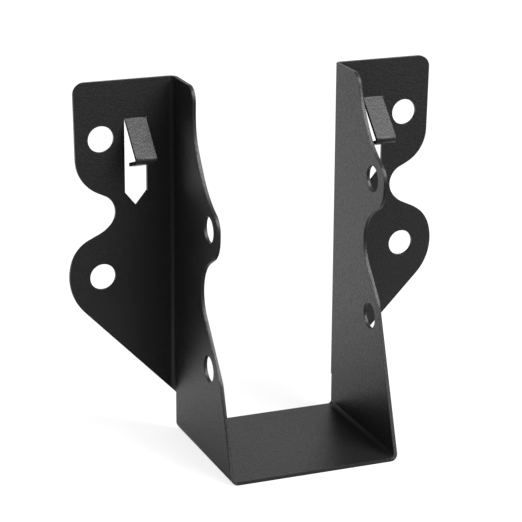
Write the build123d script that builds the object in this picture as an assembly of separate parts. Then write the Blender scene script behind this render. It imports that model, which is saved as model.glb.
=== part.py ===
from build123d import *
import math
import os

# Joist hanger folded from one piece of sheet: a seat and two walls hold the end of a joist,
# and two flanges lie flat against the header and are nailed to it.
# Millimetres. X runs across the joist, +Y towards the header, +Z up.
# The sheet is laid out with its flange backs at y = 0 and its seat's underside at z = 0,
# then set with the middle of its footprint on the origin.

# Sheet
sheet_t = 0.85
bend_r = 0.9                # inside radius of the seat bends and header bends

# Stirrup
joist_gap = 39.6            # between the walls, for a joist 38 mm thick
hanger_h = 86.1
seat_depth = 38.4           # header plane to the seat's front edge

# Joist nails, through the walls
nail_d = 6.2
nail_setback = 23.2         # header plane to the nails
nail_offset = 0.6           # left nails sit this much further from the header, right ones nearer
low_nail_z = 23.0           # lower nail of the left wall
nail_pitch = 33.0
nail_stagger = 7.5          # the right wall's nails and ear sit this much higher

# Front edge of each wall, set out from its nails
edge_offset = 0.3           # left edge stands this much further from the header, right one nearer
neck_reach = 13.8           # header plane to the wall's upper front edge
neck_rise = 18.9
neck_r = 14.4
shoulder_back = 1.7
shoulder_rise = 6.8
shoulder_r = 20.9
ear_reach = 5.85
ear_top_rise = 3.1
ear_top_r = 4.1
ear_foot_drop = 4.7
ear_foot_r = 6.7
scallop_back = 9.2
scallop_rise = 19.7
scallop_r = 9.0
left_knee_reach = 7.55
left_knee_drop = 1.2
right_knee_reach = 3.7
right_knee_rise = 4.4
knee_r = 5.3
wall_corner_r = 3.3

# Header nails, through the flanges
header_nail_d = 6.2
header_nail_out = 17.35     # wall's outer face to the nails
header_nail_drop = 13.4     # hanger's top to the upper nails
header_nail_pitch = 32.75

# Outer edge of each flange, set out from its nails
flange_top_out = 6.4
flange_corner_r = 2.75
waist_top_out = 6.0
waist_top_drop = 10.2
waist_top_r = 9.1
waist_in = 6.2
waist_drop = 16.0
waist_r = 4.6
waist_foot_in = 1.0
waist_foot_rise = 10.9
waist_foot_r = 8.3
lobe_top_out = 6.4
lobe_top_rise = 7.5
lobe_top_r = 8.2
lobe_out = 9.5
lobe_drop = 3.1
lobe_r = 12.4
flange_foot_z = 8.5         # where the flange's lower edge runs into the wall's inner face

# Slot in each flange, and the prong lanced out of it
slot_out = 9.05             # wall's outer face to the slot's middle
slot_w = 5.4
slot_drop = 8.9             # hanger's top to the slot's top
slot_straight = 17.5
slot_point = 3.3
prong_gap = 0.22            # slot's side to the prong's side
prong_bend_r = 0.25         # inside radius of the prong's two bends
strap_angle = 45.0          # strap's lean out of the flange
left_strap = 10.3           # strap's length between its bends
right_strap = 10.9
leg_fall = 18.0             # leg's fall below level as it returns to the flange

wall_outer = joist_gap / 2 + sheet_t
bend_reach = bend_r + sheet_t
diagonal = math.sqrt(0.5)
header_nail_x = wall_outer + header_nail_out
header_nail_high = hanger_h - header_nail_drop
header_nail_low = header_nail_high - header_nail_pitch
slot_x = wall_outer + slot_out
slot_top = hanger_h - slot_drop


def rounded_outline(corners):
    """Face through corners (x, y, radius), each rounded as far as its two sides leave room."""
    points = [Vector(x, y) for x, y, radius in corners]
    count = len(points)
    reach = []
    for i in range(count):
        turn = (points[i] - points[i - 1]).get_angle(points[(i + 1) % count] - points[i])
        reach.append(corners[i][2] * math.tan(math.radians(turn / 2)))
    share = []
    for i in range(count):
        side = (points[(i + 1) % count] - points[i]).length
        share.append(side / max(reach[i] + reach[(i + 1) % count], side))
    radii = [corners[i][2] * 0.999 * min(share[i - 1], share[i]) for i in range(count)]
    return make_face(FilletPolyline(*points, radius=radii, close=True))


def fold(height):
    """Cross-section of the right seat bend and of the wall above it, up to height."""
    tangent = wall_outer - bend_reach
    outer_turn = bend_reach * diagonal
    inner_turn = bend_r * diagonal
    return make_face([
        ThreePointArc(
            (tangent, 0), (tangent + outer_turn, bend_reach - outer_turn), (wall_outer, bend_reach)
        ),
        Line((wall_outer, bend_reach), (wall_outer, height)),
        Line((wall_outer, height), (joist_gap / 2, height)),
        Line((joist_gap / 2, height), (joist_gap / 2, bend_reach)),
        ThreePointArc(
            (joist_gap / 2, bend_reach), (tangent + inner_turn, bend_reach - inner_turn), (tangent, sheet_t)
        ),
        Line((tangent, sheet_t), (tangent, 0)),
    ])


def seat():
    """Flat seat between the two seat bends."""
    width = (wall_outer - bend_reach) * 2
    place = Pos(0, -(seat_depth + bend_reach) / 2, sheet_t / 2)
    return place * Box(width, seat_depth - bend_reach, sheet_t)


def right_wall(low_nail, setback, front, knee):
    """Wall on the right with its seat bend; its nails are at setback, its front edge set out from front."""
    high_nail = low_nail + nail_pitch
    open_top = high_nail + neck_rise + hanger_h
    outline = rounded_outline([
        (-bend_reach, 0, 0),
        (-bend_reach, open_top, 0),
        (-neck_reach, open_top, 0),
        (-neck_reach, high_nail + neck_rise, neck_r),
        (-front + shoulder_back, high_nail + shoulder_rise, shoulder_r),
        (-front - ear_reach, high_nail + ear_top_rise, ear_top_r),
        (-front - ear_reach, high_nail - ear_foot_drop, ear_foot_r),
        (-front + scallop_back, low_nail + scallop_rise, scallop_r),
        (*knee, knee_r),
        (-seat_depth, 0, 0),
    ])
    sheet = extrude(Plane.XZ * fold(hanger_h), amount=seat_depth)
    sheet &= extrude(Plane.YZ * outline, amount=wall_outer)
    corner = sheet.edges().filter_by(Axis.X).group_by(Axis.Z)[-1].sort_by(Axis.Y)[0]
    sheet = fillet(corner, wall_corner_r)
    for z in (low_nail, high_nail):
        sheet -= Pos(wall_outer, -setback, z) * Rot(0, 90, 0) * Cylinder(nail_d / 2, sheet_t * 4)
    return sheet


def walls():
    """Both walls; the right one's nails, ear and scallop stand higher than the left one's."""
    left_low = low_nail_z
    right_low = low_nail_z + nail_stagger
    left_front = nail_setback + edge_offset
    right_front = nail_setback - edge_offset
    left_knee = (-left_front - left_knee_reach, left_low - left_knee_drop)
    right_knee = (-right_front - right_knee_reach, right_low + right_knee_rise)
    left = right_wall(left_low, nail_setback + nail_offset, left_front, left_knee)
    right = right_wall(right_low, nail_setback - nail_offset, right_front, right_knee)
    return right + mirror(left, about=Plane.YZ)


def right_flange():
    """Right flange, the bend that joins it to the wall, its nail holes and its slot."""
    far = header_nail_x + lobe_out
    tangent = wall_outer + bend_r
    outer_turn = bend_reach * diagonal
    inner_turn = bend_r * diagonal
    section = make_face([
        Line((joist_gap / 2, -bend_reach), (wall_outer, -bend_reach)),
        ThreePointArc(
            (wall_outer, -bend_reach), (tangent - inner_turn, inner_turn - bend_reach), (tangent, -sheet_t)
        ),
        Line((tangent, -sheet_t), (far, -sheet_t)),
        Line((far, -sheet_t), (far, 0)),
        Line((far, 0), (tangent, 0)),
        ThreePointArc(
            (tangent, 0), (tangent - outer_turn, outer_turn - bend_reach), (joist_gap / 2, -bend_reach)
        ),
    ])
    outline = rounded_outline([
        (joist_gap / 2, flange_foot_z, 0),
        (far, header_nail_low - lobe_drop, lobe_r),
        (header_nail_x + lobe_top_out, header_nail_low + lobe_top_rise, lobe_top_r),
        (header_nail_x - waist_foot_in, header_nail_low + waist_foot_rise, waist_foot_r),
        (header_nail_x - waist_in, header_nail_high - waist_drop, waist_r),
        (header_nail_x + waist_top_out, header_nail_high - waist_top_drop, waist_top_r),
        (header_nail_x + flange_top_out, hanger_h, flange_corner_r),
        (joist_gap / 2, hanger_h, 0),
    ])
    sheet = extrude(section, amount=hanger_h) & extrude(Plane.XZ * outline, amount=bend_reach)
    for z in (header_nail_low, header_nail_high):
        sheet -= Pos(header_nail_x, 0, z) * Rot(90, 0, 0) * Cylinder(header_nail_d / 2, sheet_t * 4)
    return sheet - extrude(Plane.XZ * pointed_strip(slot_w, slot_straight), amount=sheet_t * 2, both=True)


def pointed_strip(width, straight):
    """Strip hanging from the slot's top, its lower end a point."""
    shoulder = slot_top - straight
    return make_face(Polyline(
        (slot_x - width / 2, slot_top),
        (slot_x + width / 2, slot_top),
        (slot_x + width / 2, shoulder),
        (slot_x, shoulder - slot_point),
        (slot_x - width / 2, shoulder),
        close=True,
    ))


def right_prong(strap_length):
    """Prong: a strap leaning out of the flange, then a pointed leg bent back as far as the header plane."""
    knee_turn = 90 + strap_angle - leg_fall
    bend_mid_r = prong_bend_r + sheet_t / 2
    bend_length = bend_mid_r * math.radians(strap_angle + knee_turn)
    width = slot_w - prong_gap * 2
    hinge = JernArc((-sheet_t / 2, slot_top), (0, -1), bend_mid_r, -strap_angle)
    strap = PolarLine(hinge @ 1, strap_length, direction=hinge % 1)
    knee = JernArc(strap @ 1, strap % 1, bend_mid_r, knee_turn)
    path = Plane.YZ.offset(slot_x) * (Curve() + [hinge, strap, knee])
    strip = Plane(origin=path @ 0, x_dir=Axis.X.direction, z_dir=path % 0) * Rectangle(width, sheet_t)
    bent = sweep(strip, path=path)
    along = path % 1
    room = (along.Z * sheet_t / 2 - (path @ 1).Y) / along.Y - slot_point
    leg_length = min(slot_straight - strap_length - bend_length, room)
    leg_plane = Plane(origin=path @ 1, x_dir=Axis.X.direction, z_dir=Axis.X.direction.cross(along))
    leg = make_face(Polyline(
        (-width / 2, 0),
        (width / 2, 0),
        (width / 2, leg_length),
        (0, leg_length + slot_point),
        (-width / 2, leg_length),
        close=True,
    ))
    return bent + extrude(leg_plane * leg, amount=sheet_t / 2, both=True)


def hanger():
    """Whole sheet, set with the middle of its footprint on the origin."""
    right = right_flange() + right_prong(right_strap)
    left = right_flange() + right_prong(left_strap)
    sheet = seat() + walls() + right + mirror(left, about=Plane.YZ)
    return Pos(0, seat_depth / 2, 0) * sheet


piece = hanger().solids()[0]
piece.label = "hanger"
os.makedirs("parts", exist_ok=True)
export_step(piece, "parts/hanger.step")
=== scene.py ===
import math
import bpy
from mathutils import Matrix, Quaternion, Vector


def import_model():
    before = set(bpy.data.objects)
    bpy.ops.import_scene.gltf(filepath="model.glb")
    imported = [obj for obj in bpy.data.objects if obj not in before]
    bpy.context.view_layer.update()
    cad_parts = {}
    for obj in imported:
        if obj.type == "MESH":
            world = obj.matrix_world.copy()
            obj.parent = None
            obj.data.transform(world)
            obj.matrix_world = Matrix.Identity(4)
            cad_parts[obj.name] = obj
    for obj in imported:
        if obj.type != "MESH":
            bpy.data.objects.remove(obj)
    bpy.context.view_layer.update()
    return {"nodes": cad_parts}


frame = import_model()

# Metres and degrees, with brightness 1 for white. The hanger stands at z = 0, its front towards -Y.

# Camera, as the photograph was taken: from the left of the hanger and a little above it
VIEW_AZIMUTH = -22.086
VIEW_ELEVATION = 17.813
VIEW_ROLL = 0.402
VIEW_DISTANCE = 0.479559
AIM = Vector((-0.005051, 0.002640, 0.044821))
LENS = 144.119                  # millimetres, like the sensor
SENSOR_WIDTH = 36
NEAREST_SEEN = 0.01
FURTHEST_SEEN = 20

# Coat
COAT_COLOUR = (0.010, 0.010, 0.0105, 1)
COAT_IOR = 1.44
GRAIN_SCALE = 2700              # to the metre, so that a grain is about 0.37 mm across
GRAIN_DETAIL = 2
GRAIN_DEPTH = 0.00012
GRAIN_ENDS = (0.38, 0.62)       # the noise in the grains' hollows and on their tops
GRAIN_ROUGHNESS = (0.36, 0.46)  # in those hollows and on those tops
PEEL_SCALE = 700                # to the metre: slow waves of about 1.4 mm, as on an orange's peel
PEEL_DETAIL = 1
PEEL_DEPTH = 0.00003
BUMP_STRENGTH = 0.5

# Cut edges
FACET_GAP = 0.000002            # corners of facets that lie nearer than this are one
EDGE_RADIUS = 0.00012
EDGE_SEGMENTS = 2
EDGE_ANGLE = 40                 # an edge that turns by more than this is a cut edge

# Surroundings as reflections see them: dim on one side and turning bright towards the other
# On the floor this is painted light and shade, in its glow and paint: painted shade in front of the
# hanger, painted light behind it
FLOOR_BRIGHT_SIDE = (0.12, 0.97, 0)
FLOOR_TURN = (-0.1, 0.1)        # where the turn starts and ends, counted from the hanger's middle
FLOOR_PAINTED_LIGHT_LEVELS = (0.02, 1.01)
FLOOR_SHADED = 0.3              # share of that level that takes the lamp's shadows
ROOM_BRIGHT_SIDE = (0.8, 0, -0.6)
ROOM_TURN = (-0.25, 0.22)       # the same for directions: their part towards the bright side
ROOM_LEVELS = (0.11, 1.22)

# Floor and room as the camera sees them, both white, and as all other light meets them. The white
# floor is paint, which takes the hanger's shadow, and a glow that brings it up to white.
FLOOR_HALF = 4.0                # the floor is a square, twice this wide
FLOOR_PAINT = 0.7
WHITE_FLOOR_PAINT = 0.2
WHITE_FLOOR_GLOW = 0.81
ROOM_WHITE = 1
ROOM_LIGHT = 0.95

# Lamp
SOFTBOX_PLACE = Vector((0.41, -0.56, 0.80))
SOFTBOX_AIM = Vector((0, 0, 0.04))
SOFTBOX_WIDTH = 0.55
SOFTBOX_HEIGHT = 1.0
SOFTBOX_POWER = 17.8            # watts


def camera():
    """Camera on the sphere round AIM, looking at it, turned by VIEW_ROLL about its own axis."""
    azimuth = math.radians(VIEW_AZIMUTH)
    elevation = math.radians(VIEW_ELEVATION)
    back = Vector((
        math.sin(azimuth) * math.cos(elevation),
        -math.cos(azimuth) * math.cos(elevation),
        math.sin(elevation),
    ))
    roll = Quaternion((0, 0, 1), math.radians(VIEW_ROLL))
    data = bpy.data.cameras.new("camera")
    data.lens = LENS
    data.sensor_width = SENSOR_WIDTH
    data.clip_start = NEAREST_SEEN
    data.clip_end = FURTHEST_SEEN
    cam = bpy.data.objects.new("camera", data)
    cam.rotation_mode = "QUATERNION"
    cam.location = AIM + back * VIEW_DISTANCE
    cam.rotation_quaternion = (-back).to_track_quat("-Z", "Y") @ roll
    bpy.context.scene.collection.objects.link(cam)
    bpy.context.scene.camera = cam


def ramp(tree, value, span, levels, shape):
    """Value carried from span to levels by a line or a smooth step, and held past both ends."""
    step = tree.nodes.new("ShaderNodeMapRange")
    step.interpolation_type = shape
    for name, number in zip(("From Min", "From Max", "To Min", "To Max"), (*span, *levels)):
        step.inputs[name].default_value = number
    tree.links.new(value, step.inputs["Value"])
    return step.outputs["Result"]


def noise(tree, place, scale, detail):
    """Noise about a half, with scale waves to the metre of place."""
    waves = tree.nodes.new("ShaderNodeTexNoise")
    waves.inputs["Scale"].default_value = scale
    waves.inputs["Detail"].default_value = detail
    tree.links.new(place, waves.inputs["Vector"])
    return waves.outputs["Fac"]


def bump(tree, height, depth):
    """Bump node: lit as if raised by depth times height, with BUMP_STRENGTH of the full tilt."""
    relief = tree.nodes.new("ShaderNodeBump")
    relief.inputs["Strength"].default_value = BUMP_STRENGTH
    relief.inputs["Distance"].default_value = depth
    tree.links.new(height, relief.inputs["Height"])
    return relief


def powder_coat():
    """Near-black satin powder coat. A fine grain changes its height and gloss, the hollows being
    the glossier, and lies over the slower waves of the peel, which change the height alone."""
    mat = bpy.data.materials.new("black_powder_coat")
    mat.use_nodes = True
    tree = mat.node_tree
    shader = tree.nodes["Principled BSDF"]
    shader.inputs["Base Color"].default_value = COAT_COLOUR
    shader.inputs["IOR"].default_value = COAT_IOR
    place = tree.nodes.new("ShaderNodeTexCoord").outputs["Object"]
    grain = noise(tree, place, GRAIN_SCALE, GRAIN_DETAIL)
    peel = noise(tree, place, PEEL_SCALE, PEEL_DETAIL)
    roughness = ramp(tree, grain, GRAIN_ENDS, GRAIN_ROUGHNESS, "LINEAR")
    fine = bump(tree, grain, GRAIN_DEPTH)
    slow = bump(tree, peel, PEEL_DEPTH)
    tree.links.new(slow.outputs["Normal"], fine.inputs["Normal"])
    tree.links.new(roughness, shader.inputs["Roughness"])
    tree.links.new(fine.outputs["Normal"], shader.inputs["Normal"])
    return mat


def level_across(tree, place, bright_side, turn, levels):
    """Brightness: a smooth step, over turn, in how far place lies towards the bright side."""
    across = tree.nodes.new("ShaderNodeVectorMath")
    across.operation = "DOT_PRODUCT"
    across.inputs[1].default_value = bright_side
    tree.links.new(place, across.inputs[0])
    return ramp(tree, across.outputs["Value"], turn, levels, "SMOOTHSTEP")


def seen_by_ray(tree, camera_sees, reflection_sees, others_see):
    """Shader that differs for the camera's rays, for reflections and for all other light."""
    path = tree.nodes.new("ShaderNodeLightPath")
    reflected = tree.nodes.new("ShaderNodeMixShader")
    seen = tree.nodes.new("ShaderNodeMixShader")
    tree.links.new(path.outputs["Is Glossy Ray"], reflected.inputs[0])
    tree.links.new(others_see, reflected.inputs[1])
    tree.links.new(reflection_sees, reflected.inputs[2])
    tree.links.new(path.outputs["Is Camera Ray"], seen.inputs[0])
    tree.links.new(reflected.outputs[0], seen.inputs[1])
    tree.links.new(camera_sees, seen.inputs[2])
    return seen.outputs[0]


def painted(tree, colour, glow):
    """Matt paint that also glows: returns the paint's and the glow's nodes and their sum."""
    paint = tree.nodes.new("ShaderNodeBsdfDiffuse")
    paint.inputs["Color"].default_value = (colour, colour, colour, 1)
    light = tree.nodes.new("ShaderNodeEmission")
    light.inputs["Strength"].default_value = glow
    both = tree.nodes.new("ShaderNodeAddShader")
    tree.links.new(paint.outputs[0], both.inputs[0])
    tree.links.new(light.outputs[0], both.inputs[1])
    return paint, light, both.outputs[0]


def floor():
    """Plain pale floor. The camera sees it as white, with the hanger's shadow left faint on it.
    Reflections see painted shade on it in front of the hanger and painted light behind it, in its
    glow and its paint."""
    half = FLOOR_HALF
    corners = [(-half, -half, 0), (half, -half, 0), (half, half, 0), (-half, half, 0)]
    mesh = bpy.data.meshes.new("floor")
    mesh.from_pydata(corners, [], [(0, 1, 2, 3)])
    obj = bpy.data.objects.new("floor", mesh)
    bpy.context.scene.collection.objects.link(obj)
    mat = bpy.data.materials.new("pale_floor")
    mat.use_nodes = True
    tree = mat.node_tree
    tree.nodes.clear()
    out = tree.nodes.new("ShaderNodeOutputMaterial")
    place = tree.nodes.new("ShaderNodeTexCoord").outputs["Object"]
    # Painted light and shade for reflections: the floor's glow and paint turn from dim in front of
    # the hanger to bright behind it
    level = level_across(tree, place, FLOOR_BRIGHT_SIDE, FLOOR_TURN, FLOOR_PAINTED_LIGHT_LEVELS)
    plain = painted(tree, FLOOR_PAINT, 0)[2]
    white = painted(tree, WHITE_FLOOR_PAINT, WHITE_FLOOR_GLOW)[2]
    paint, light, painted_light_in_reflections = painted(tree, 0, 0)
    shares = ((FLOOR_SHADED, paint.inputs["Color"]), (1 - FLOOR_SHADED, light.inputs["Strength"]))
    for part, socket in shares:
        share = tree.nodes.new("ShaderNodeMath")
        share.operation = "MULTIPLY"
        share.inputs[1].default_value = part
        tree.links.new(level, share.inputs[0])
        tree.links.new(share.outputs[0], socket)
    tree.links.new(seen_by_ray(tree, white, painted_light_in_reflections, plain), out.inputs["Surface"])
    mesh.materials.append(mat)


def world():
    """White room for the camera, one that turns from dim to bright for reflections, and an even
    soft light for everything else."""
    studio = bpy.data.worlds.new("studio")
    bpy.context.scene.world = studio
    studio.use_nodes = True
    tree = studio.node_tree
    tree.nodes.clear()
    out = tree.nodes.new("ShaderNodeOutputWorld")
    place = tree.nodes.new("ShaderNodeTexCoord").outputs["Generated"]
    level = level_across(tree, place, ROOM_BRIGHT_SIDE, ROOM_TURN, ROOM_LEVELS)
    white = tree.nodes.new("ShaderNodeBackground")
    white.inputs["Strength"].default_value = ROOM_WHITE
    grey = tree.nodes.new("ShaderNodeBackground")
    grey.inputs["Strength"].default_value = ROOM_LIGHT
    room = tree.nodes.new("ShaderNodeBackground")
    tree.links.new(level, room.inputs["Strength"])
    seen = seen_by_ray(tree, white.outputs[0], room.outputs[0], grey.outputs[0])
    tree.links.new(seen, out.inputs["Surface"])


def softbox():
    """Tall rectangular lamp at the front right, facing the middle of the hanger."""
    data = bpy.data.lights.new("front_softbox", "AREA")
    data.shape = "RECTANGLE"
    data.size = SOFTBOX_WIDTH
    data.size_y = SOFTBOX_HEIGHT
    data.energy = SOFTBOX_POWER
    lamp = bpy.data.objects.new("front_softbox", data)
    lamp.location = SOFTBOX_PLACE
    lamp.rotation_mode = "QUATERNION"
    lamp.rotation_quaternion = (SOFTBOX_AIM - SOFTBOX_PLACE).to_track_quat("-Z", "Y")
    bpy.context.scene.collection.objects.link(lamp)


def finish_sheet(piece):
    """Joins the sheet's facets, rounds its cut edges a little and gives it the coat."""
    join_facets = piece.modifiers.new("join_facets", "WELD")
    join_facets.merge_threshold = FACET_GAP
    round_edges = piece.modifiers.new("round_cut_edges", "BEVEL")
    round_edges.width = EDGE_RADIUS
    round_edges.segments = EDGE_SEGMENTS
    round_edges.limit_method = "ANGLE"
    round_edges.angle_limit = math.radians(EDGE_ANGLE)
    round_edges.use_clamp_overlap = True
    piece.data.materials.clear()
    piece.data.materials.append(powder_coat())


bpy.context.scene.view_settings.view_transform = "Standard"
camera()
floor()
world()
softbox()
finish_sheet(frame["nodes"]["hanger"])
